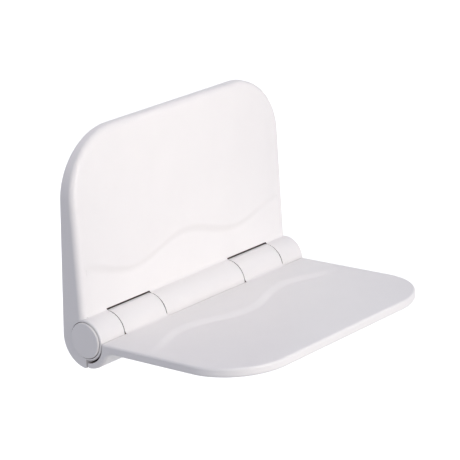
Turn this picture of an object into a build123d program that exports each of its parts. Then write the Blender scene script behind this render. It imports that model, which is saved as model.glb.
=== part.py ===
"""Wall-mounted fold-down shower seat, moulded in white plastic.

A back panel hangs on a bracket that is screwed to the wall. A seat panel turns on an axle at the
foot of the back panel, from open against a lip under the hinge to folded flat against the back.

Frame: X along the hinge, +Y into the wall, +Z up, millimetres. The origin is the middle of the four
wall holes, on the wall's face.
"""

import os
from math import asin, atan, atan2, ceil, cos, degrees, pi, radians, sin, sqrt, tan

from build123d import *

os.makedirs("parts", exist_ok=True)

# Overall sizes
width = 385.0
panel_height = 248.0  # hinge axis to the top edge of the back panel
seat_reach = 246.0  # hinge axis to the front edge of the seat
seat_thickness = 12.0
panel_top = 13.8  # thickness of the back panel at its top edge
corner_radius = 79.0
folded_gap = 1.5  # between the seat and the panel's face when folded

# Hinge barrel
barrel_radius = 26.0
barrel_gap = 2.0  # round the seat's knuckles, to the slots in the panel
cradle_gap = 1.0  # round the fixed knuckles, to the seat's cradle
cradle_drop = 1.8  # the cradle's hollow hangs lower than the barrel, so that water drains from it
skirt_wall = 8.4  # outside the slots
end_knuckle = 42.0
seat_knuckle = 76.2
seam_gap = 1.0
seam_edge = 0.6  # rounding of the knuckles at the seams
barrel_edge = 2.0  # rounding at the barrel's ends
panel_blend_radius = 2.5  # hollow corner where a fixed knuckle grows out of the panel
seat_blend_radius = 4.0
lip_gap = 3.8  # lip to cradle, open
lip_edge = 0.5

# Back panel
panel_edge = 8.0
panel_skin = 4.5
panel_rim = 6.0
panel_rib = 3.0
panel_columns = 10
panel_rows = 6
cells_above_axis = 36.0
core_wall = 4.0  # between the pockets behind the centre knuckle and the axle, bracket or skirt
core_rib = 12.0
core_count = 4
core_end = 11.5  # wall at each end of the row of pockets

# Shallow dish with a wavy border: on the hinge side of it on the panel, in front of it on the seat
wave_period = 189.0
panel_wave_middle = 75.0
panel_wave_swing = 10.5
seat_wave_middle = 82.0
seat_wave_swing = 13.0
dish_depth = 2.0
dish_side = 13.0  # from the dish to the panel's sides
panel_dish_end = 33.0  # where the dish has run out, from the hinge axis
seat_dish_end = 236.0

# Seat panel
seat_top_edge = 3.0
seat_under_edge = 4.0
cradle_fillet = 16.0  # hollow corner between the cradle and the seat's underside
seat_rib = 3.0
seat_columns = 10
seat_rows = 5
cell_depth = 4.0

# Axle, bushes and end caps
axle_radius = 6.0
axle_fit = 0.05
bush_wall = 2.5
bush_length = 20.0
bush_flange_radius = 13.0
bush_flange = 0.8
washer_radius = 9.0
washer_thickness = 1.6
axle_screw_radius = 3.0
axle_screw_length = 14.0
axle_screw_head_radius = 5.5
axle_screw_head = 3.5
tap_spare = 4.0
end_pocket_radius = 19.5
end_pocket_depth = 20.0
cap_radius = 22.5
cap_groove = 0.8
cap_seat = 3.0
cap_proud = 2.0
cap_edge = 1.8
cap_spigot = 9.0
cap_wall = 2.0

# Wall bracket and its lock screws
bracket_thickness = 3.0
bracket_foot = 27.0  # underside of the lower flange above the axis
lower_flange = 18.0
upper_flange = 11.0
bend_radius = 3.0
hole_radius = 3.25
hole_spacing_x = 200.0
hole_spacing_z = 90.0
hole_margin_x = 20.0
hole_margin_z = 25.0
screw_room = 9.0  # radius left free in front of each wall hole for a screw's head
bracket_slack = 0.5
lock_radius = 2.5
lock_length = 50.0
lock_head_radius = 4.75
lock_head = 3.5
lock_seat = 12.0  # seat of the screw's head below the axis
lock_to_wall = 10.0
nut_across = 8.0
nut_height = 4.5
hex_key = 3.0
hex_sides = 6

# Stop buffers in the lip
buffer_radius = 2.0
buffer_length = 10.0
buffer_slack = 0.2  # buffer to cradle, open

# Stiffener bars, cover and cover screws under the seat
bar_width = 30.0
bar_thickness = 4.0
bar_web = 5.5  # left between the bar's rear end and the bush
bar_play = 42.0  # free length of the channel, so that the bar can slide back into the knuckle
cover_thickness = 2.5
cover_inset = 12.0
cover_to_cradle = 9.5
cover_ledge = 12.0
cover_screw_radius = 1.6
cover_screw_length = 9.0
cover_screw_head_radius = 3.2
countersink_angle = 90.0
row_screw_spacing = 120.0
piece_fit = 0.1  # all round a piece that lies in a recess

# Places that follow from the sizes
half_width = width / 2
sweep_radius = barrel_radius + barrel_gap
skirt_radius = sweep_radius + skirt_wall
axis_to_wall = skirt_radius
outer_seam = half_width - end_knuckle
inner_seam = outer_seam - seat_knuckle
bush_radius = axle_radius + axle_fit + bush_wall
bracket_width = hole_spacing_x + 2 * hole_margin_x
bracket_head = bracket_foot + hole_spacing_z + 2 * hole_margin_z
fixing_height = (bracket_foot + bracket_head) / 2
# The panel's face leans back, and the seat rises to the front, by one angle
face_run = axis_to_wall - panel_top
lean = atan2(face_run, panel_height) - asin(folded_gap / sqrt(panel_height**2 + face_run**2))
lean_cos = cos(lean)
lean_sin = sin(lean)
fixed_inner = inner_seam - seam_gap / 2
fixed_outer = outer_seam + seam_gap / 2
turning_inner = inner_seam + seam_gap / 2
turning_outer = outer_seam - seam_gap / 2
fixed_knuckles = ((-half_width, -fixed_outer), (-fixed_inner, fixed_inner), (fixed_outer, half_width))
seat_knuckles = ((-turning_outer, -turning_inner), (turning_inner, turning_outer))

axis_point = Vector(0, -axis_to_wall, -fixing_height)
toward_front = Vector(0, -lean_cos, lean_sin)
toward_top = Vector(0, lean_sin, lean_cos)

# Side view on the axis: first toward the wall, then up
hinge = Plane(axis_point, x_dir=(0, 1, 0), z_dir=(1, 0, 0))
# Side view of the seat: first toward the front edge, then up from its top
seat_side = Plane(axis_point, x_dir=toward_front, z_dir=(-1, 0, 0))
# The two faces that meet when folded, each with y away from the hinge
panel_face = Plane(axis_point - toward_front * folded_gap, x_dir=(1, 0, 0), z_dir=toward_front)
seat_face = Plane(axis_point, x_dir=(-1, 0, 0), z_dir=toward_top)
seat_under = seat_face.offset(-seat_thickness)
wall = Plane.XZ


def panel_front(height):
    """Distance of the panel's face behind the hinge axis, at a height above the axis."""
    return (folded_gap + height * lean_sin) / lean_cos


def along_seat(front, up):
    """A place in front of and above the axis, in the seat's own side view."""
    return (front * lean_cos + up * lean_sin, up * lean_cos - front * lean_sin)


def knuckle(start, end):
    """A round length of the hinge barrel, with softened ends."""
    with BuildPart() as round_length:
        with BuildSketch(hinge.offset(start)):
            Circle(barrel_radius)
        extrude(amount=end - start)
        for x in (start, end):
            rims = round_length.edges().filter_by(GeomType.CIRCLE)
            rim = rims.sort_by_distance(axis_point + Vector(x, 0, 0))[0]
            fillet(rim, barrel_edge if abs(x) == half_width else seam_edge)
    return round_length.part


def corner_blend(face_level, radius):
    """Hollow corner between the barrel and a flat face: the axis is at the origin, the face along x."""
    middle_y = face_level + radius
    middle_x = sqrt((barrel_radius + radius) ** 2 - middle_y**2)
    inside = middle_x / 2
    with BuildSketch() as blend:
        with BuildLine():
            Polyline(
                (inside, face_level),
                (middle_x, face_level),
                (middle_x, middle_y),
                (inside, middle_y / 2),
                close=True,
            )
        make_face()
        with Locations((middle_x, middle_y)):
            Circle(radius, mode=Mode.SUBTRACT)
    return blend.sketch


def wave_dish(face, middle, swing, end):
    """Shallow dish from a wavy border to its end, deepest at mid-width of the border, out at the sides."""
    span = half_width - dish_side
    lift = 2 * dish_depth
    length = abs(end - middle) + swing
    rise = atan(dish_depth / (end - middle))
    along = face.y_dir * cos(rise) + face.z_dir * sin(rise)
    section = Plane(face.origin + face.y_dir * middle, x_dir=face.x_dir, z_dir=along)
    quarter = wave_period / 4
    count = ceil(half_width / quarter) + 1
    stations = [quarter * step for step in range(-count, count + 1)]
    with BuildPart() as dish:
        with BuildSketch(section):
            with BuildLine():
                floor = ThreePointArc((-span, 0), (0, dish_depth), (span, 0))
                Polyline(floor @ 1, (span, -lift), (-span, -lift), floor @ 0)
            make_face()
        extrude(amount=length, both=True)
        with BuildSketch(face):
            with BuildLine():
                border = Spline(*[(x, middle + swing * cos(2 * pi * x / wave_period)) for x in stations])
                Polyline(border @ 1, (stations[-1], end), (stations[0], end), border @ 0)
            make_face()
        extrude(amount=lift, both=True, mode=Mode.INTERSECT)
    return dish.part


def rounded_end(half, start, end, radius):
    """Flat outline from start to end along y, with its two corners at the end rounded."""
    with BuildSketch() as outline:
        with Locations((0, (start + end) / 2)):
            Rectangle(2 * half, end - start)
        fillet(outline.vertices().group_by(Axis.Y)[-1], radius)
    return outline.sketch


# Cells of the panel's rear ribs, cut off in front by the panel's skin
cells_bottom = cells_above_axis - fixing_height
cells_top = panel_height - panel_rim - fixing_height
cells_half = half_width - panel_rim
cells_middle = (cells_bottom + cells_top) / 2
column_pitch = (2 * cells_half + panel_rib) / panel_columns
row_pitch = (cells_top - cells_bottom + panel_rib) / panel_rows
panel_cells_outline = rounded_end(cells_half, cells_bottom, cells_top, corner_radius - panel_rim)

with BuildPart() as panel_cells:
    with BuildSketch(wall):
        add(panel_cells_outline)
        with Locations((0, cells_middle)):
            with GridLocations(column_pitch, 0, panel_columns - 1, 1):
                Rectangle(panel_rib, cells_top - cells_bottom, mode=Mode.SUBTRACT)
            with GridLocations(0, row_pitch, 1, panel_rows - 1):
                Rectangle(2 * cells_half, panel_rib, mode=Mode.SUBTRACT)
        with GridLocations(hole_spacing_x, hole_spacing_z, 2, 2):
            Circle(screw_room)
    extrude(amount=axis_to_wall)
    split(bisect_by=panel_face.offset(-panel_skin), keep=Keep.BOTTOM)

# Back panel: wedge-shaped shell with three knuckles, and a skirt that ends in the lip
core_pitch = 2 * (fixed_inner - core_end + core_rib / 2) / core_count
core_depth = axis_to_wall - axle_radius - core_wall
core_height = bracket_foot - bracket_slack - core_wall
lock_places = ((-core_pitch, -lock_to_wall), (core_pitch, -lock_to_wall))
lock_line = Plane.XY.offset(-fixing_height - lock_seat)
flange_top = bracket_foot + bracket_thickness - fixing_height
buffer_drop = sweep_radius + skirt_wall / 2
buffer_line = Plane.XZ.offset(axis_to_wall)
buffer_proud = lip_gap - buffer_slack
buffer_places = [half_width - end_knuckle / 2, inner_seam / 2]
buffer_spots = [(side * x, -fixing_height - buffer_drop) for side in (-1, 1) for x in buffer_places]

panel_dish = wave_dish(panel_face, panel_wave_middle, panel_wave_swing, panel_dish_end)
panel_blend = corner_blend(-folded_gap, panel_blend_radius)
panel_side = Plane(axis_point, x_dir=toward_top, z_dir=(1, 0, 0))

with BuildPart() as back_panel:
    with BuildSketch(hinge):
        with BuildLine():
            Polyline(
                (panel_front(0), 0),
                (axis_to_wall, 0),
                (axis_to_wall, panel_height),
                (panel_front(panel_height), panel_height),
                close=True,
            )
        make_face()
    extrude(amount=half_width, both=True)
    fillet(back_panel.edges().filter_by(Axis.Y).group_by(Axis.Z)[-1], corner_radius)
    front_face = back_panel.faces().filter_by(panel_face)[0]
    fillet(front_face.edges().sort_by(Axis.Z)[1:], panel_edge)
    add(panel_dish, mode=Mode.SUBTRACT)
    # Skirt round the back of the barrel, down to the lip
    with BuildSketch(hinge):
        with BuildLine():
            skirt = CenterArc((0, 0), skirt_radius, -90, 90)
            Polyline(skirt @ 1, (0, 0), skirt @ 0)
        make_face()
    extrude(amount=half_width, both=True)
    fillet(back_panel.edges().filter_by(Axis.X).sort_by(Axis.Z)[0], lip_edge)
    # Fixed knuckles, grown out of the panel's face with a hollow corner
    for start, end in fixed_knuckles:
        add(knuckle(start, end))
    with BuildSketch(panel_side):
        add(panel_blend)
    extrude(amount=half_width - panel_edge, both=True)
    # Slots for the seat's knuckles
    for start, end in ((-fixed_outer, -fixed_inner), (fixed_inner, fixed_outer)):
        with BuildSketch(hinge.offset(start)):
            Circle(sweep_radius)
        extrude(amount=end - start, mode=Mode.SUBTRACT)
    # Axle bore, and the stepped pockets behind the end caps
    with BuildSketch(hinge):
        Circle(axle_radius + axle_fit)
    extrude(amount=half_width, both=True, mode=Mode.SUBTRACT)
    for side in (-1, 1):
        with BuildSketch(hinge.offset(side * half_width)):
            Circle(end_pocket_radius)
        extrude(amount=-side * end_pocket_depth, mode=Mode.SUBTRACT)
        with BuildSketch(hinge.offset(side * half_width)):
            Circle(cap_radius + cap_groove)
        extrude(amount=-side * cap_seat, mode=Mode.SUBTRACT)
    # Rear cells, and a row of pockets behind the axle
    add(panel_cells.part, mode=Mode.SUBTRACT)
    with BuildSketch(wall):
        with Locations((0, core_height / 2 - fixing_height)):
            with GridLocations(core_pitch, 0, core_count, 1):
                Rectangle(core_pitch - core_rib, core_height)
    extrude(amount=core_depth, mode=Mode.SUBTRACT)
    # Rebate for the bracket's plate, and slots for its two flanges
    with BuildSketch(wall):
        Rectangle(bracket_width + 2 * bracket_slack, bracket_head - bracket_foot + 2 * bracket_slack)
    extrude(amount=bracket_thickness + bracket_slack, mode=Mode.SUBTRACT)
    with BuildSketch(wall):
        with Locations((0, bracket_head - bracket_thickness / 2 - fixing_height)):
            Rectangle(bracket_width + 2 * bracket_slack, bracket_thickness + 2 * bracket_slack)
    extrude(amount=upper_flange + bracket_slack, mode=Mode.SUBTRACT)
    flange_room = cells_above_axis + panel_rib - bracket_foot
    with BuildSketch(wall):
        with Locations((0, bracket_foot - bracket_slack + flange_room / 2 - fixing_height)):
            Rectangle(bracket_width + 2 * bracket_slack, flange_room)
    extrude(amount=lower_flange + bracket_slack, mode=Mode.SUBTRACT)
    # Lock screw holes, with their heads sunk into the skirt
    with BuildSketch(lock_line):
        with Locations(*lock_places):
            Circle(lock_radius + piece_fit)
    extrude(amount=lock_seat + bracket_foot, mode=Mode.SUBTRACT)
    with BuildSketch(lock_line):
        with Locations(*lock_places):
            Circle(lock_head_radius + piece_fit)
    extrude(amount=-skirt_radius, mode=Mode.SUBTRACT)
    # Pockets for the stop buffers in the lip's front face
    with BuildSketch(buffer_line):
        with Locations(*buffer_spots):
            Circle(buffer_radius + piece_fit)
    extrude(amount=-(buffer_length - buffer_proud), mode=Mode.SUBTRACT)
back_panel.part.label = "back_panel"
export_step(back_panel.part, "parts/back_panel.step")

# Wall bracket: plate with a flange bent forward at each end, and four holes for the wall screws
half_sheet = bracket_thickness / 2
bracket_side = Plane((0, 0, -fixing_height), x_dir=(0, -1, 0), z_dir=(-1, 0, 0))
with BuildPart() as wall_bracket:
    with BuildSketch(bracket_side):
        with BuildLine():
            FilletPolyline(
                (lower_flange - half_sheet, bracket_foot + half_sheet),
                (half_sheet, bracket_foot + half_sheet),
                (half_sheet, bracket_head - half_sheet),
                (upper_flange - half_sheet, bracket_head - half_sheet),
                radius=bend_radius,
            )
            offset(amount=half_sheet, side=Side.BOTH)
        make_face()
    extrude(amount=bracket_width / 2, both=True)
    with BuildSketch(wall):
        with GridLocations(hole_spacing_x, hole_spacing_z, 2, 2):
            Circle(hole_radius)
    extrude(amount=bracket_thickness, mode=Mode.SUBTRACT)
    with BuildSketch(Plane.XY.offset(flange_top)):
        with Locations(*lock_places):
            Circle(lock_radius + piece_fit)
    extrude(amount=-bracket_thickness, mode=Mode.SUBTRACT)
wall_bracket.part.label = "wall_bracket"
export_step(wall_bracket.part, "parts/wall_bracket.step")

# Nuts on the bracket's lower flange
with BuildPart() as bracket_nuts:
    with BuildSketch(Plane.XY.offset(flange_top)):
        with Locations(*lock_places):
            RegularPolygon(nut_across / 2, hex_sides, major_radius=False)
            Circle(lock_radius + piece_fit / 2, mode=Mode.SUBTRACT)
    extrude(amount=nut_height)
bracket_nuts.part.label = "bracket_nuts"
export_step(bracket_nuts.part, "parts/bracket_nuts.step")

# Lock screws, put in from below
with BuildPart() as lock_screws:
    with BuildSketch(lock_line):
        with Locations(*lock_places):
            Circle(lock_radius)
    extrude(amount=lock_length)
    with BuildSketch(lock_line):
        with Locations(*lock_places):
            Circle(lock_head_radius)
    extrude(amount=-lock_head)
    with BuildSketch(lock_line.offset(-lock_head)):
        with Locations(*lock_places):
            RegularPolygon(hex_key / 2, hex_sides, major_radius=False)
    extrude(amount=lock_head / 2, mode=Mode.SUBTRACT)
lock_screws.part.label = "lock_screws"
export_step(lock_screws.part, "parts/lock_screws.step")

# Axle: rod between the floors of the two end pockets, tapped at both ends
axle_half = half_width - end_pocket_depth
with BuildPart() as axle:
    with BuildSketch(hinge):
        Circle(axle_radius)
    extrude(amount=axle_half, both=True)
    for side in (-1, 1):
        with BuildSketch(hinge.offset(side * axle_half)):
            Circle(axle_screw_radius + piece_fit / 2)
        extrude(amount=-side * (axle_screw_length + tap_spare), mode=Mode.SUBTRACT)
axle.part.label = "axle"
export_step(axle.part, "parts/axle.step")

# Washers and screws that hold the axle, one at each end
washer_face = axle_half + washer_thickness
with BuildPart() as axle_washers:
    for side in (-1, 1):
        with BuildSketch(hinge.offset(side * axle_half)):
            Circle(washer_radius)
            Circle(axle_screw_radius + piece_fit, mode=Mode.SUBTRACT)
        extrude(amount=side * washer_thickness)
axle_washers.part.label = "axle_washers"
export_step(axle_washers.part, "parts/axle_washers.step")

with BuildPart() as axle_screws:
    for side in (-1, 1):
        with BuildSketch(hinge.offset(side * washer_face)):
            Circle(axle_screw_radius)
        extrude(amount=-side * (axle_screw_length + washer_thickness))
        with BuildSketch(hinge.offset(side * washer_face)):
            Circle(axle_screw_head_radius)
        extrude(amount=side * axle_screw_head)
        with BuildSketch(hinge.offset(side * (washer_face + axle_screw_head))):
            RegularPolygon(hex_key / 2, hex_sides, major_radius=False)
        extrude(amount=-side * axle_screw_head / 2, mode=Mode.SUBTRACT)
axle_screws.part.label = "axle_screws"
export_step(axle_screws.part, "parts/axle_screws.step")

# End caps: rounded discs, a little proud, on a ring that plugs the end pocket
for name, side in (("end_cap_left", -1), ("end_cap_right", 1)):
    with BuildPart() as end_cap:
        with BuildSketch(hinge.offset(side * (half_width - cap_seat))):
            Circle(cap_radius)
        extrude(amount=side * (cap_seat + cap_proud))
        rim = end_cap.edges().filter_by(GeomType.CIRCLE).sort_by(Axis.X)
        fillet(rim[-1] if side > 0 else rim[0], cap_edge)
        with BuildSketch(hinge.offset(side * (half_width - cap_seat))):
            Circle(end_pocket_radius - piece_fit)
            Circle(end_pocket_radius - piece_fit - cap_wall, mode=Mode.SUBTRACT)
        extrude(amount=-side * cap_spigot)
    end_cap.part.label = name
    export_step(end_cap.part, f"parts/{name}.step")

# Rubber buffers in the lip, just clear of the open seat's cradle
for number, spot in enumerate(buffer_spots, start=1):
    with BuildPart() as stop_buffer:
        with BuildSketch(buffer_line.offset(buffer_proud)):
            with Locations(spot):
                Circle(buffer_radius)
        extrude(amount=-buffer_length)
    name = f"stop_buffer_{number}"
    stop_buffer.part.label = name
    export_step(stop_buffer.part, f"parts/{name}.step")

# Seat panel: plate, cradle under the barrel and two knuckles
fillet_x = sqrt((skirt_radius + cradle_fillet) ** 2 - (seat_thickness + cradle_fillet) ** 2)
fillet_y = -seat_thickness - cradle_fillet
fillet_end = degrees(atan2(-fillet_y, -fillet_x))
cradle_foot = along_seat(lip_gap, -sqrt(skirt_radius**2 - lip_gap**2))
cradle_start = degrees(atan2(fillet_y, fillet_x))
cradle_end = degrees(atan2(cradle_foot[1], cradle_foot[0]))
cover_rear = fillet_x + cover_to_cradle
cover_outline = rounded_end(
    half_width - cover_inset, cover_rear, seat_reach - cover_inset, corner_radius - cover_inset
)
ledge_inset = cover_inset + cover_ledge
seat_cells_rear = cover_rear + cover_ledge
seat_cells_front = seat_reach - ledge_inset
seat_cells_half = half_width - ledge_inset
seat_cells_middle = (seat_cells_rear + seat_cells_front) / 2
seat_cells_outline = rounded_end(
    seat_cells_half, seat_cells_rear, seat_cells_front, corner_radius - ledge_inset
)
seat_column_pitch = (2 * seat_cells_half + seat_rib) / seat_columns
seat_row_pitch = (seat_cells_front - seat_cells_rear + seat_rib) / seat_rows
bar_place = (inner_seam + outer_seam) / 2
bar_start = bush_radius + bar_web
channel_width = bar_width + 2 * piece_fit
channel_length = seat_cells_front - bar_start
channel_middle = bar_start - piece_fit + channel_length / 2
bar_length = channel_length - bar_play
cover_floor = seat_under.offset(cover_thickness)
screw_side = half_width - cover_inset - cover_ledge / 2
screw_rear = cover_rear + cover_ledge / 2
screw_front = seat_reach - cover_inset - cover_ledge / 2
side_screws = [
    (x, y)
    for x in (-screw_side, screw_side)
    for y in (screw_rear + cover_ledge, seat_reach - corner_radius - cover_ledge)
]
row_screws = [
    (x, y) for x in (-row_screw_spacing / 2, row_screw_spacing / 2) for y in (screw_rear, screw_front)
]
cover_screw_places = side_screws + row_screws

seat_dish = wave_dish(seat_face, seat_wave_middle, seat_wave_swing, seat_dish_end)
seat_blend = corner_blend(0, seat_blend_radius)

with BuildPart() as seat_panel:
    with BuildSketch(seat_side):
        with BuildLine():
            hollow = CenterArc((fillet_x, fillet_y), cradle_fillet, 90, fillet_end - 90)
            cradle = CenterArc((0, 0), skirt_radius, cradle_start, cradle_end - cradle_start)
            Polyline(
                hollow @ 0,
                (seat_reach, -seat_thickness),
                (seat_reach, 0),
                (0, 0),
                along_seat(lip_gap, 0),
                cradle @ 1,
            )
        make_face()
    extrude(amount=half_width, both=True)
    fillet(seat_panel.edges().filter_by(Axis((0, 0, 0), toward_top)), corner_radius)
    top_face = seat_panel.faces().filter_by(seat_face).sort_by(Axis.Z)[-1]
    fillet(top_face.edges().sort_by(Axis.Y)[:-1], seat_top_edge)
    under_face = seat_panel.faces().filter_by(seat_face).sort_by(Axis.Z)[0]
    fillet(under_face.edges().sort_by(Axis.Y)[:-1], seat_under_edge)
    add(seat_dish, mode=Mode.SUBTRACT)
    # Room for the three fixed knuckles
    for start, end in (
        (-half_width, -turning_outer),
        (-turning_inner, turning_inner),
        (turning_outer, half_width),
    ):
        with BuildSketch(hinge.offset(start)):
            with Locations((0, -cradle_drop)):
                Circle(barrel_radius + cradle_gap)
        extrude(amount=end - start, mode=Mode.SUBTRACT)
    # The seat's own knuckles, with a hollow corner to the seat's top and a bore for the bushes
    for start, end in seat_knuckles:
        add(knuckle(start, end))
        with BuildSketch(seat_side.offset(-start)):
            add(seat_blend)
        extrude(amount=start - end)
        with BuildSketch(hinge.offset(start)):
            Circle(bush_radius + piece_fit / 2)
        extrude(amount=end - start, mode=Mode.SUBTRACT)
    # Rebate for the cover, rib cells, channels for the stiffener bars, and screw holes
    with BuildSketch(seat_under):
        add(cover_outline)
    extrude(amount=cover_thickness, mode=Mode.SUBTRACT)
    with BuildSketch(cover_floor):
        add(seat_cells_outline)
        with Locations((0, seat_cells_middle)):
            with GridLocations(seat_column_pitch, 0, seat_columns - 1, 1):
                Rectangle(seat_rib, seat_cells_front - seat_cells_rear, mode=Mode.SUBTRACT)
            with GridLocations(0, seat_row_pitch, 1, seat_rows - 1):
                Rectangle(2 * seat_cells_half, seat_rib, mode=Mode.SUBTRACT)
        with Locations((-bar_place, channel_middle), (bar_place, channel_middle)):
            Rectangle(channel_width + 2 * seat_rib, channel_length + 2 * seat_rib, mode=Mode.SUBTRACT)
    extrude(amount=cell_depth, mode=Mode.SUBTRACT)
    with BuildSketch(cover_floor):
        with Locations((-bar_place, channel_middle), (bar_place, channel_middle)):
            Rectangle(channel_width, channel_length)
    extrude(amount=bar_thickness + piece_fit, mode=Mode.SUBTRACT)
    with BuildSketch(seat_under):
        with Locations(*cover_screw_places):
            Circle(cover_screw_radius + piece_fit / 2)
    extrude(amount=cover_screw_length, mode=Mode.SUBTRACT)
seat_panel.part.label = "seat_panel"
export_step(seat_panel.part, "parts/seat_panel.step")

# Flanged bushes: a pair in each seat knuckle, with the flanges in the seams
bush_faces = (-turning_outer, -turning_inner, turning_inner, turning_outer)
for number, face in enumerate(bush_faces, start=1):
    outward = 1 if number % 2 == 0 else -1
    with BuildPart() as bush:
        with BuildSketch(hinge.offset(face)):
            Circle(bush_radius)
        extrude(amount=-outward * bush_length)
        with BuildSketch(hinge.offset(face)):
            Circle(bush_flange_radius)
        extrude(amount=outward * bush_flange)
        with BuildSketch(hinge.offset(face)):
            Circle(axle_radius + axle_fit)
        extrude(amount=bush_length, both=True, mode=Mode.SUBTRACT)
    name = f"bush_{number}"
    bush.part.label = name
    export_step(bush.part, f"parts/{name}.step")

# Stiffener bars, slid back into the knuckles and shut in by the cover
for name, side in (("stiffener_left", 1), ("stiffener_right", -1)):
    with BuildPart() as stiffener:
        with BuildSketch(cover_floor):
            with Locations((side * bar_place, bar_start + bar_length / 2)):
                Rectangle(bar_width, bar_length)
        extrude(amount=bar_thickness)
    stiffener.part.label = name
    export_step(stiffener.part, f"parts/{name}.step")

# Cover of the underside, flush in its rebate
with BuildPart() as seat_cover:
    with BuildSketch(seat_under):
        add(cover_outline)
        offset(amount=-piece_fit)
    extrude(amount=cover_thickness)
    with Locations(seat_under):
        with Locations(*[(x, y, 0) for x, y in cover_screw_places]):
            CounterSinkHole(
                cover_screw_radius + piece_fit,
                cover_screw_head_radius + piece_fit,
                depth=cover_thickness,
                counter_sink_angle=countersink_angle,
            )
seat_cover.part.label = "seat_cover"
export_step(seat_cover.part, "parts/seat_cover.step")

# Countersunk screws of the cover
head_slope = countersink_angle / 2
cover_screw_head = (cover_screw_head_radius - cover_screw_radius) / tan(radians(head_slope))
with BuildPart() as cover_screws:
    with BuildSketch(seat_under):
        with Locations(*cover_screw_places):
            Circle(cover_screw_radius)
    extrude(amount=cover_screw_length)
    with BuildSketch(seat_under):
        with Locations(*cover_screw_places):
            Circle(cover_screw_head_radius)
    extrude(amount=cover_screw_head, taper=head_slope)
cover_screws.part.label = "cover_screws"
export_step(cover_screws.part, "parts/cover_screws.step")
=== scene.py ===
"""Wall-mounted fold-down shower seat, moulded in white ABS on a stainless hinge axle."""
from math import asin, atan2, cos, hypot, pi, radians, sin

import bmesh
import bpy
from mathutils import Matrix, Vector


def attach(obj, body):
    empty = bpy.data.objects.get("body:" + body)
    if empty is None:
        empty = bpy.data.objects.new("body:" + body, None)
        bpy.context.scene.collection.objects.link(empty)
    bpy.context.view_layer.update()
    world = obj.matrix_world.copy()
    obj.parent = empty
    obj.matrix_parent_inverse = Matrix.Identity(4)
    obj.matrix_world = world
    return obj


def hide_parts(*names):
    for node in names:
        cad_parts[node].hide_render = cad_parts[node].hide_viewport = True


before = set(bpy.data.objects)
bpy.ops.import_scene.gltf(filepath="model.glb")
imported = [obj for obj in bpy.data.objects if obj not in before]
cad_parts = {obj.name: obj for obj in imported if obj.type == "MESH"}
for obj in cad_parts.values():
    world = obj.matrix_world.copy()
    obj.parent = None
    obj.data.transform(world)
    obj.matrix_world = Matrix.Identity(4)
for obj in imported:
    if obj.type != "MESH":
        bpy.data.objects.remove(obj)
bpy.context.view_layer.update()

# Wall bracket with its nuts and lock screws: 3 mm stainless sheet, sheared, bent and brushed along its
# length, with bright machine screws. The panel hangs on it, and the lock screws hold the panel down.
mm = 0.001


def linear(colour):
    """Linear colour of an sRGB hex value."""
    parts = [int(colour[i:i + 2], 16) / 255 for i in (1, 3, 5)]
    return [p / 12.92 if p <= 0.04045 else ((p + 0.055) / 1.055) ** 2.4 for p in parts] + [1]


def add_node(tree, kind, settings, links):
    """A node with its socket values or properties, and links from other nodes' sockets."""
    node = tree.nodes.new(kind)
    for name, value in settings.items():
        if isinstance(name, int) or name in node.inputs:
            node.inputs[name].default_value = value
        else:
            setattr(node, name, value)
    for name, source in links.items():
        tree.links.new(source, node.inputs[name])
    return node


def new_material(name):
    """An empty node material: its tree, its surface shader and the object's own coordinates."""
    material = bpy.data.materials.new(name)
    material.use_nodes = True
    tree = material.node_tree
    place = add_node(tree, "ShaderNodeTexCoord", {}, {}).outputs["Object"]
    return material, tree, tree.nodes["Principled BSDF"], place


# Brushed stainless steel: long scratches along X stretch its highlights across them.
brushed_steel, tree, steel, place = new_material("brushed_stainless_steel")
brush_length, brush_width = 45 * mm, 1.1 * mm  # the real scratches are finer than the render shows
stretched = add_node(
    tree,
    "ShaderNodeMapping",
    {"Scale": (brush_width / brush_length, 1, 1)},
    {"Vector": place},
)
scratches = add_node(
    tree,
    "ShaderNodeTexNoise",
    {"Scale": 1 / brush_width, "Detail": 3},
    {"Vector": stretched.outputs["Vector"]},
)
steel_tone = add_node(
    tree,
    "ShaderNodeMix",
    {"data_type": "RGBA", 6: linear("#858482"), 7: linear("#BDBBB8")},
    {"Factor": scratches.outputs["Fac"]},
)
steel_rough = add_node(
    tree,
    "ShaderNodeMapRange",
    {"To Min": 0.24, "To Max": 0.42},
    {"Value": scratches.outputs["Fac"]},
)
steel_bump = add_node(
    tree,
    "ShaderNodeBump",
    {"Strength": 0.25, "Distance": 0.02 * mm},
    {"Height": scratches.outputs["Fac"]},
)
steel.inputs["Metallic"].default_value = 1
tree.links.new(steel_tone.outputs[2], steel.inputs["Base Color"])
tree.links.new(steel_rough.outputs["Result"], steel.inputs["Roughness"])
tree.links.new(steel_bump.outputs["Normal"], steel.inputs["Normal"])


def dress(material, *nodes):
    """Gives CAD nodes their finish."""
    for node in nodes:
        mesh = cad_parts[node].data
        mesh.materials.clear()
        mesh.materials.append(material)


dress(brushed_steel, "wall_bracket", "bracket_nuts", "lock_screws")

# Back panel: one injection moulding of white ABS, ribbed behind. Its face leans back. Below a wavy border
# it sinks by some 4 mm in a soft step, and rises again to the hinge barrel at its foot.

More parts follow.
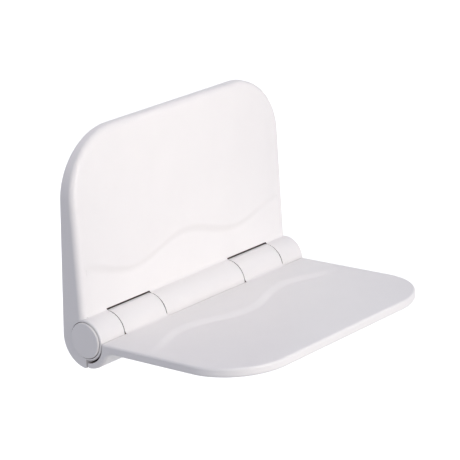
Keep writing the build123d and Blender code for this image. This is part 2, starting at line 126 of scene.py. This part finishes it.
# Moulded ABS, polished mould: satin gloss with a trace of orange peel, and slow changes of gloss where
# the melt flowed.
white_abs, tree, abs_shader, place = new_material("white_moulded_abs")
flow_size, peel_size = 45 * mm, 1.6 * mm
flow = add_node(tree, "ShaderNodeTexNoise", {"Scale": 1 / flow_size, "Detail": 2}, {"Vector": place})
peel = add_node(tree, "ShaderNodeTexNoise", {"Scale": 1 / peel_size, "Detail": 2}, {"Vector": place})
abs_tone = add_node(
    tree,
    "ShaderNodeMix",
    {"data_type": "RGBA", 6: linear("#F0EEEC"), 7: linear("#F4F2F0")},
    {"Factor": flow.outputs["Fac"]},
)
abs_rough = add_node(
    tree,
    "ShaderNodeMapRange",
    {"To Min": 0.32, "To Max": 0.4},
    {"Value": flow.outputs["Fac"]},
)
abs_bump = add_node(
    tree,
    "ShaderNodeBump",
    {"Strength": 0.12, "Distance": 0.01 * mm},
    {"Height": peel.outputs["Fac"]},
)
abs_ior = 1.54
abs_shader.inputs["IOR"].default_value = abs_ior
tree.links.new(abs_tone.outputs[2], abs_shader.inputs["Base Color"])
tree.links.new(abs_rough.outputs["Result"], abs_shader.inputs["Roughness"])
tree.links.new(abs_bump.outputs["Normal"], abs_shader.inputs["Normal"])

# Painted shade: the faces hidden inside the hinge are the same ABS painted a dull, mottled brown-black,
# so that the seams, slots and grooves read as dark lines.
hinge_painted_shade, tree, painted_shade_shader, place = new_material("abs_with_painted_shade_in_hinge")
shade_mottle_size = 3 * mm
shade_mottle = add_node(tree, "ShaderNodeTexNoise", {"Scale": 1 / shade_mottle_size, "Detail": 3}, {"Vector": place})
painted_shade_tone = add_node(
    tree,
    "ShaderNodeMix",
    {"data_type": "RGBA", 6: linear("#432E24"), 7: linear("#5E473B")},
    {"Factor": shade_mottle.outputs["Fac"]},
)
painted_shade_shader.inputs["Roughness"].default_value = 0.6
painted_shade_shader.inputs["IOR"].default_value = abs_ior
tree.links.new(painted_shade_tone.outputs[2], painted_shade_shader.inputs["Base Color"])

width = 385 * mm
panel_height = 248 * mm
panel_top = 13.8 * mm  # thickness of the panel at its top edge
axis_to_wall = 36.4 * mm
fixing_height = 97 * mm  # from the hinge axis up to the middle of the wall holes
folded_gap = 1.5 * mm  # between the panel's face and the folded seat
face_run = axis_to_wall - panel_top
lean = atan2(face_run, panel_height) - asin(folded_gap / hypot(panel_height, face_run))
hinge_axis = Vector((0, -axis_to_wall, -fixing_height))
toward_front = Vector((0, -cos(lean), sin(lean)))
toward_top = Vector((0, sin(lean), cos(lean)))
across = Vector((1, 0, 0))

wave_period = 189 * mm
wave_band = 13 * mm  # width of the soft step
wave_side = 8 * mm  # the step has run out this far from the sides
side_curve = 8  # how late it runs out towards the sides
rise_curve = 1.5  # how soon the sunk face rises again beyond the step
face_cell = 2 * mm
barrel_radius = 26 * mm
seat_knuckle = 73 * mm, 152 * mm  # the two knuckles of the seat, with their seams, from the middle outwards
hinge_reach = 30 * mm  # hinge faces lie within this of the axis
cap_groove = 23.5 * mm  # just over the radius of the groove round an end cap
barrel_end = 1 * mm  # the barrel's own end face, which stays clean
square_on = 0.99  # cosine from which a face looks along the axle
turned_to = 0.9  # cosine from which a face looks to the axis or away from it
in_plane = 0.9985  # cosine from which a face counts as flat
weld_slack = 0.004 * mm
plane_slack = 0.02 * mm
round_slack = 0.05 * mm
cut_slack = 0.0001 * mm
crease = radians(28)


def on_knuckle(face):
    """Whether a face is on the round of a knuckle."""
    spokes = [Vector((0, v.co.y, v.co.z)) - hinge_axis for v in face.verts]
    return all(abs(s.length - barrel_radius) < round_slack for s in spokes)


def in_hinge(face):
    """Whether a face is hidden in the hinge, seen only through its seams, slots and grooves."""
    centre = face.calc_center_median()
    spoke = centre - hinge_axis
    spoke.x = 0
    if spoke.length > hinge_reach:
        return False
    by_seat_knuckle = seat_knuckle[0] < abs(centre.x) < seat_knuckle[1]
    in_end_knuckle = seat_knuckle[1] < abs(centre.x) < width / 2 - barrel_end
    in_groove = in_end_knuckle and spoke.length < cap_groove
    if abs(face.normal.x) > square_on:  # an end of a knuckle, or the floor of an end cap's pocket
        return by_seat_knuckle or in_groove
    outward = face.normal.dot(spoke.normalized())
    in_slot = by_seat_knuckle and spoke.dot(toward_front) < -folded_gap
    if outward > turned_to:  # a knuckle's round, where the panel's slot takes it in
        return in_slot and spoke.z > 0
    return outward < -turned_to and (in_slot or in_groove or spoke.z < 0)


def wave_line(x, middle, swing):
    """Distance of the wave from the hinge axis."""
    return middle + swing * cos(2 * pi * x / wave_period)


def wave_drop(x, along, middle, swing, end, depth):
    """Depth of the face under its plane: a soft step along the wave, running out at the sides and the end."""
    line = wave_line(x, middle, swing)
    past = (along - line) * (1 if end > middle else -1)
    step = min(max(past / wave_band + 0.5, 0), 1)
    step = step * step * (3 - 2 * step)  # eased at both ends
    side = max(0, 1 - (abs(x) / (width / 2 - wave_side)) ** side_curve)
    run_out = min(max((end - along) / (end - line), 0), 1) ** rise_curve
    return depth * step * side * run_out


def waved_shell(node, name, *, origin, along, normal, reach, middle, swing, end, depth):
    """The moulding with its flat face drawn again as a fine grid that follows the soft wave."""
    shell = bmesh.new()
    shell.from_mesh(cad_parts[node].data)
    bmesh.ops.remove_doubles(shell, verts=shell.verts, dist=weld_slack)
    lowest = -1.5 * depth  # the plain step of the CAD face lies above this
    plain_step = 1 * mm  # and within this of the wave

    def on_face(face):
        levels = [(v.co - origin).dot(normal) for v in face.verts]
        if min(levels) <= lowest or max(levels) >= plane_slack:
            return False
        centre = face.calc_center_median() - origin
        to_wave = abs(centre.dot(along) - wave_line(centre.x, middle, swing))
        return face.normal.dot(normal) > in_plane or to_wave < plain_step

    # One face takes the place of the flat face and its plain step.
    old_face = {f for f in shell.faces if on_face(f)}
    rim = [e for f in old_face for e in f.edges if not old_face.issuperset(e.link_faces)]
    bmesh.ops.delete(shell, geom=list(old_face), context="FACES_ONLY")
    made = bmesh.ops.contextual_create(shell, geom=rim)["faces"]
    loose = [e for e in shell.edges if not e.link_faces]
    bmesh.ops.delete(shell, geom=loose, context="EDGES")
    for face in shell.faces:
        face.material_index = 0
    for face in made:
        face.material_index = 1  # marks the cells until the finishes are given out below
        if face.normal.dot(normal) < 0:
            face.normal_flip()

    # It is cut into small cells, and their corners sink to the wave.
    for direction, first, last in ((across, -width / 2, width / 2), (along, 0, reach)):
        count = round((last - first) / face_cell)
        for i in range(1, count):
            cells = [f for f in shell.faces if f.material_index == 1]
            geom = {part for f in cells for part in (f, *f.edges, *f.verts)}
            cut_at = origin + direction * (first + (last - first) * i / count)
            bmesh.ops.bisect_plane(
                shell, geom=list(geom), dist=cut_slack, plane_co=cut_at, plane_no=direction
            )
    moved = {v for f in shell.faces if f.material_index == 1 for v in f.verts}
    for v in moved:
        v.co -= normal * wave_drop(v.co.x, (v.co - origin).dot(along), middle, swing, end, depth)

    # The knuckles are split where the panel's slot begins, so that the painted shade ends there.
    knuckles = [f for f in shell.faces if on_knuckle(f)]
    geom = {part for f in knuckles for part in (f, *f.edges, *f.verts)}
    slot_mouth = hinge_axis - toward_front * folded_gap
    bmesh.ops.bisect_plane(
        shell, geom=list(geom), dist=cut_slack, plane_co=slot_mouth, plane_no=toward_front
    )
    # Faces hidden in the hinge take the second material, the painted shade of the seams, slots and grooves.
    for face in shell.faces:
        face.material_index = int(in_hinge(face))
        face.smooth = True
    mesh = bpy.data.meshes.new(name)
    shell.to_mesh(mesh)
    shell.free()
    mesh.attributes.remove(mesh.attributes["custom_normal"])
    mesh.set_sharp_from_angle(angle=crease)
    mesh.materials.append(white_abs)
    mesh.materials.append(hinge_painted_shade)
    piece = bpy.data.objects.new(name, mesh)
    bpy.context.scene.collection.objects.link(piece)
    piece.modifiers.new("even_shading", "WEIGHTED_NORMAL").keep_sharp = True
    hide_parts(node)
    return piece


back_shell = waved_shell(
    "back_panel",
    "back_panel_shell",
    origin=hinge_axis - toward_front * folded_gap,
    along=toward_top,
    normal=toward_front,
    reach=panel_height,
    middle=75 * mm,
    swing=10.5 * mm,
    end=24 * mm,
    depth=4.2 * mm,
)
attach(back_shell, "back")

# Axle with its screws and washers, and the bushes that the seat turns on: a stainless rod through all
# five knuckles, and flanged bushes of natural nylon pressed into the seat's knuckles.
dress(brushed_steel, "axle", "axle_washers", "axle_screws")

# Natural nylon: off-white and matt, faintly mottled where it was turned.
natural_nylon, tree, nylon, place = new_material("natural_nylon")
mottle_size = 2.5 * mm
mottle = add_node(tree, "ShaderNodeTexNoise", {"Scale": 1 / mottle_size, "Detail": 3}, {"Vector": place})
nylon_tone = add_node(
    tree,
    "ShaderNodeMix",
    {"data_type": "RGBA", 6: linear("#DDD8C9"), 7: linear("#E8E4D8")},
    {"Factor": mottle.outputs["Fac"]},
)
nylon.inputs["Roughness"].default_value = 0.5
nylon.inputs["IOR"].default_value = 1.53
tree.links.new(nylon_tone.outputs[2], nylon.inputs["Base Color"])
dress(natural_nylon, "bush_1", "bush_2", "bush_3", "bush_4")

# End caps: rounded discs of the same white ABS, moulded with a hollow behind. They are pushed into the
# ends of the barrel, over the axle's screws.
dress(white_abs, "end_cap_left", "end_cap_right")

# Stop buffers: short plugs of black rubber, moulded and pressed into holes in the panel's lip. The open
# seat comes down on them.

# Moulded rubber: matt and very slightly grey, with a fine grain.
black_rubber, tree, rubber, place = new_material("moulded_rubber")
grain_size = 0.6 * mm  # the real grain is finer than a render shows
grain = add_node(tree, "ShaderNodeTexNoise", {"Scale": 1 / grain_size, "Detail": 4}, {"Vector": place})
rubber_tone = add_node(
    tree,
    "ShaderNodeMix",
    {"data_type": "RGBA", 6: linear("#1E1E20"), 7: linear("#2B2B2D")},
    {"Factor": grain.outputs["Fac"]},
)
rubber.inputs["Roughness"].default_value = 0.75
tree.links.new(rubber_tone.outputs[2], rubber.inputs["Base Color"])
dress(black_rubber, "stop_buffer_1", "stop_buffer_2", "stop_buffer_3", "stop_buffer_4")

# Seat panel: a flat moulding of the same white ABS, with a cradle that wraps under the barrel. In front of
# a wavy border its top sinks by some 4 mm in a soft step, and rises again to the front edge.
seat_reach = 246 * mm
seat_shell = waved_shell(
    "seat_panel",
    "seat_panel_shell",
    origin=hinge_axis,
    along=toward_front,
    normal=toward_top,
    reach=seat_reach,
    middle=82 * mm,
    swing=13 * mm,
    end=236 * mm,
    depth=4.4 * mm,
)
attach(seat_shell, "seat")

# Stiffener bars, underside cover and its countersunk screws: two flat bars lie in channels from the
# knuckles forward, and a thin ABS cover shuts them in.
dress(brushed_steel, "stiffener_left", "stiffener_right", "cover_screws")
dress(white_abs, "seat_cover")

# Floor of the studio: pale, matt paint at the height that such a seat is fixed above. It is white to the
# camera and in reflections, and lit as any floor otherwise.
floor_drop = 480 * mm  # below the hinge axis
floor_half = 30  # metres, so that its edge never shows
floor_level = -fixing_height - floor_drop
floor_mesh = bpy.data.meshes.new("studio_floor")
corners = [(floor_half * x, floor_half * y, floor_level) for x, y in ((-1, -1), (1, -1), (1, 1), (-1, 1))]
floor_mesh.from_pydata(corners, [], [(0, 1, 2, 3)])
floor = bpy.data.objects.new("studio_floor", floor_mesh)
bpy.context.scene.collection.objects.link(floor)


def seen_share(tree):
    """Socket that is 1 for what the camera sees, itself or through gloss and glass, and 0 for plain light."""
    rays = add_node(tree, "ShaderNodeLightPath", {}, {})
    largest = {"operation": "MAXIMUM"}
    looks = {0: rays.outputs["Is Camera Ray"], 1: rays.outputs["Is Glossy Ray"]}
    mirrored = add_node(tree, "ShaderNodeMath", largest, looks)
    through = {0: mirrored.outputs[0], 1: rays.outputs["Is Transmission Ray"]}
    return add_node(tree, "ShaderNodeMath", largest, through).outputs[0]


floor_paint, tree, paint, place = new_material("floor_paint")
paint.inputs["Base Color"].default_value = linear("#B8B8B8")
paint.inputs["Roughness"].default_value = 0.9
paint.inputs["Emission Color"].default_value = linear("#F7F7F6")
tree.links.new(seen_share(tree), paint.inputs["Emission Strength"])
floor_mesh.materials.append(floor_paint)

# Studio light: a pale, faintly blue room all round, soft boxes in front, above, low down and on the right,
# and a box with a grid, which keeps its light on the upper panel.
room = bpy.data.worlds.new("studio_room")
bpy.context.scene.world = room
room.use_nodes = True
tree = room.node_tree
tree.nodes.clear()
dim_room = add_node(tree, "ShaderNodeBackground", {"Color": linear("#EDEFFF"), "Strength": 0.59}, {})
white_room = add_node(tree, "ShaderNodeBackground", {"Color": linear("#FFFFFF"), "Strength": 1}, {})
shown_room = add_node(
    tree,
    "ShaderNodeMixShader",
    {},
    {0: seen_share(tree), 1: dim_room.outputs[0], 2: white_room.outputs[0]},
)
add_node(tree, "ShaderNodeOutputWorld", {}, {"Surface": shown_room.outputs[0]})

open_box, grid_box = 180, 40  # degrees over which a box throws its light
for name, stands_at, aims_at, size, spread, watts, colour in (
    ("front_softbox", (-0.25, -1.5, 0.32), (0, -0.1, 0), (0.6, 0.4), open_box, 6.1, "#FFFAF5"),
    ("high_softbox", (-0.2, -1.0, 1.0), (0, -0.05, 0), (0.6, 0.4), open_box, 1.4, "#FFF3E4"),
    ("low_softbox", (0.2, -1.9, -0.06), (0, -0.02, 0.02), (1.2, 0.25), open_box, 4.2, "#FFFCF9"),
    ("panel_gridbox", (-0.2, -1.0, 0.95), (0, 0, 0.16), (0.3, 0.2), grid_box, 0.16, "#FFF6EC"),
    ("side_softbox", (1.4, -1.55, 0.38), (-0.17, -0.05, -0.09), (0.3, 0.5), open_box, 0.7, "#FFFAF2"),
):
    lamp = bpy.data.lights.new(name, "AREA")
    lamp.shape = "RECTANGLE"
    lamp.size, lamp.size_y = size
    lamp.spread = radians(spread)
    lamp.energy = watts
    lamp.color = linear(colour)[:3]
    stand = bpy.data.objects.new(name, lamp)
    stand.location = stands_at
    stand.rotation_mode = "QUATERNION"
    stand.rotation_quaternion = (Vector(stands_at) - Vector(aims_at)).to_track_quat("Z", "Y")
    bpy.context.scene.collection.objects.link(stand)
bpy.context.scene.view_settings.view_transform = "Standard"

# Camera: a long lens, as for a catalogue picture, from the left and a little above. It is moved slightly to
# the left and up, which puts the seat right of the frame's middle.
azimuth, elevation = radians(-49.694), radians(20.06)
eye_distance, eye_left, eye_up = 2.7895, 0.03853, 0.017
view_point = Vector((0, -0.1505, -0.00075))
away = Vector((sin(azimuth) * cos(elevation), -cos(azimuth) * cos(elevation), sin(elevation)))
right = (-away).cross(Vector((0, 0, 1))).normalized()
up = right.cross(-away)
eye = view_point + away * eye_distance - right * eye_left + up * eye_up
lens = bpy.data.cameras.new("camera")
lens.sensor_width = 36
lens.lens = 180.01
camera = bpy.data.objects.new("camera", lens)
camera.matrix_world = Matrix.Translation(eye) @ Matrix((right, up, away)).transposed().to_4x4()
bpy.context.scene.collection.objects.link(camera)
bpy.context.scene.camera = camera
